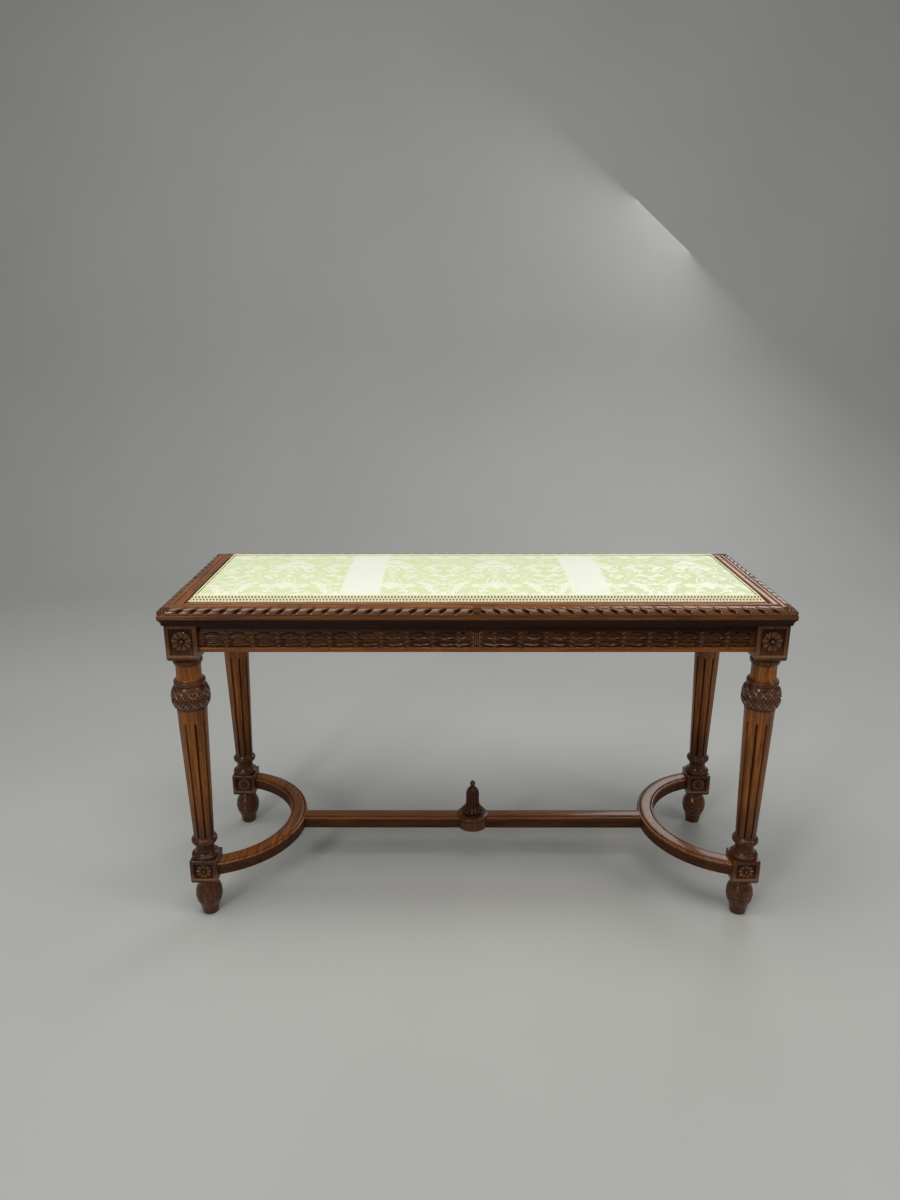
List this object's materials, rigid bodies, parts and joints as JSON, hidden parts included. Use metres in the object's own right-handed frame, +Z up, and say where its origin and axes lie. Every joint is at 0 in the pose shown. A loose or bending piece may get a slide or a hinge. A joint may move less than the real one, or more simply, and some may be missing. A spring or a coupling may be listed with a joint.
{
  "type": "piano bench",
  "caption": "Carved walnut piano bench with an upholstered lid that lifts over a music compartment, fluted legs and a curved stretcher with a finial.",
  "frame": {"origin": "on the floor, under the middle of the bench", "axes": "+X along the bench, -Y the front (the hinges are at +Y), +Z up"},
  "size_m": [0.94, 0.3466, 0.5515],
  "materials": {
    "walnut": "dark waxed, carved",
    "walnut_light": "waxed, golden brown",
    "plywood": "plain sanded",
    "damask": "pale green and cream figured weave",
    "braid": "woven yellow cream",
    "stuffing": "soft fill",
    "brass": "satin, aged",
    "steel": "dull"
  },
  "bodies": {
    "frame": {"leg_front_left": "walnut", "leg_front_right": "walnut", "leg_back_left": "walnut", "leg_back_right": "walnut", "apron_front": "walnut", "apron_back": "walnut", "apron_left": "walnut", "apron_right": "walnut", "bottom_panel": "plywood", "stretcher_arc_left": "walnut_light", "stretcher_arc_right": "walnut_light", "stretcher_bar_left": "walnut_light", "stretcher_bar_right": "walnut_light", "stretcher_hub": "walnut", "finial": "walnut", "hinge_left_frame_leaf": "brass", "hinge_left_pin": "brass", "hinge_left_frame_screw_1": "steel", "hinge_left_frame_screw_2": "steel", "hinge_right_frame_leaf": "brass", "hinge_right_pin": "brass", "hinge_right_frame_screw_1": "steel", "hinge_right_frame_screw_2": "steel"},
    "lid": {"lid_rail_front": "walnut_light", "lid_rail_back": "walnut_light", "lid_rail_left": "walnut_light", "lid_rail_right": "walnut_light", "lid_tongue_front_left": "plywood", "lid_tongue_front_right": "plywood", "lid_tongue_back_left": "plywood", "lid_tongue_back_right": "plywood", "seat_board": "plywood", "seat_screw_front_left": "steel", "seat_screw_front_middle": "steel", "seat_screw_front_right": "steel", "seat_screw_back_left": "steel", "seat_screw_back_middle": "steel", "seat_screw_back_right": "steel", "seat_stuffing": "stuffing", "seat_cover": "damask", "gimp_front": "braid", "gimp_back": "braid", "gimp_left": "braid", "gimp_right": "braid", "hinge_left_lid_leaf": "brass", "hinge_left_lid_screw_1": "steel", "hinge_left_lid_screw_2": "steel", "hinge_right_lid_leaf": "brass", "hinge_right_lid_screw_1": "steel", "hinge_right_lid_screw_2": "steel"}
  },
  "joints": [
    {"name": "lid_hinge", "type": "hinge", "parent": "frame", "child": "lid", "pos_m": [0, 0.1666, 0.50825], "axis": [-1, 0, 0], "range_deg": [0, 100]}
  ]
}
